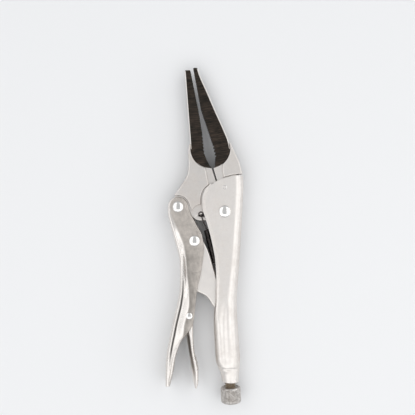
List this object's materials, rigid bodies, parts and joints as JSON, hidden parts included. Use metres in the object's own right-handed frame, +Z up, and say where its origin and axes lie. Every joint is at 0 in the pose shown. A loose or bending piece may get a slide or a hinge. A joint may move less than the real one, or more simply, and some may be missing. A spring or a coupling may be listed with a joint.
{
  "type": "long nose locking pliers",
  "caption": "Long-nose locking pliers with toothed slim jaws, toggle lever, release lever and knurled adjusting screw, shut and locked.",
  "frame": {"origin": "centre of the underside of the whole tool's box, as it lies on one side", "axes": "+Y runs from the adjusting knob to the nose, +X towards the fixed handle, +Z up from the surface it lies on, square to the jaws' flat sides"},
  "size_m": [0.0528, 0.228, 0.017],
  "materials": {
    "plated_sheet": "satin nickel plate on pressed sheet",
    "lever_sheet": "satin nickel plate, slightly stained",
    "jaw_steel": "plated forging with black milled nose",
    "link_steel": "plated folded sheet",
    "rivet_steel": "bright polished domes",
    "screw_steel": "machined thread, thin plating",
    "knob_steel": "knurled, plated",
    "spring_steel": "dark oiled wire"
  },
  "bodies": {
    "fixed_side": {"fixed_handle": "plated_sheet", "fixed_jaw": "jaw_steel", "fixed_jaw_pin": "rivet_steel", "main_rivet": "rivet_steel", "opening_spring": "spring_steel"},
    "moving_jaw": {"moving_jaw": "jaw_steel"},
    "lever": {"lever_handle": "lever_sheet", "lever_rivet": "rivet_steel", "link_rivet": "rivet_steel", "release_rivet": "rivet_steel"},
    "link": {"toggle_link": "link_steel"},
    "release": {"release_lever": "lever_sheet"},
    "screw": {"adjusting_screw": "screw_steel"},
    "knob": {"adjusting_knob": "knob_steel"}
  },
  "joints": [
    {"name": "jaw_swing", "type": "hinge", "parent": "fixed_side", "child": "moving_jaw", "pos_m": [0.01344, 0.01662, 0.0085], "axis": [0, 0, 1], "range_deg": [0, 25], "deforming": ["opening_spring"]},
    {"name": "lever_swing", "type": "hinge", "parent": "moving_jaw", "child": "lever", "pos_m": [-0.01806, 0.01972, 0.0085], "axis": [0, 0, 1], "range_deg": [-71, 0]},
    {"name": "link_swing", "type": "hinge", "parent": "lever", "child": "link", "pos_m": [-0.00696, -0.00318, 0.0085], "axis": [0, 0, 1], "range_deg": [0, 72.5]},
    {"name": "release_press", "type": "hinge", "parent": "lever", "child": "release", "pos_m": [-0.01046, -0.05368, 0.0085], "axis": [0, 0, 1], "range_deg": [-8, 0]},
    {"name": "screw_feed", "type": "slide", "parent": "fixed_side", "child": "screw", "axis": [0.0425, -0.9991, 0], "range_m": [0, 0.015]},
    {"name": "knob_turn", "type": "hinge", "parent": "screw", "child": "knob", "pos_m": [0.01752, -0.10258, 0.0085], "axis": [0.0425, -0.9991, 0], "range_deg": [0, 4320]}
  ],
  "couplings": [
    {"joint": "lever_swing", "follows": "jaw_swing", "ratio": -2.828},
    {"joint": "link_swing", "follows": "jaw_swing", "ratio": 2.884},
    {"joint": "knob_turn", "follows": "screw_feed", "rad_per_m": 5026.5}
  ]
}
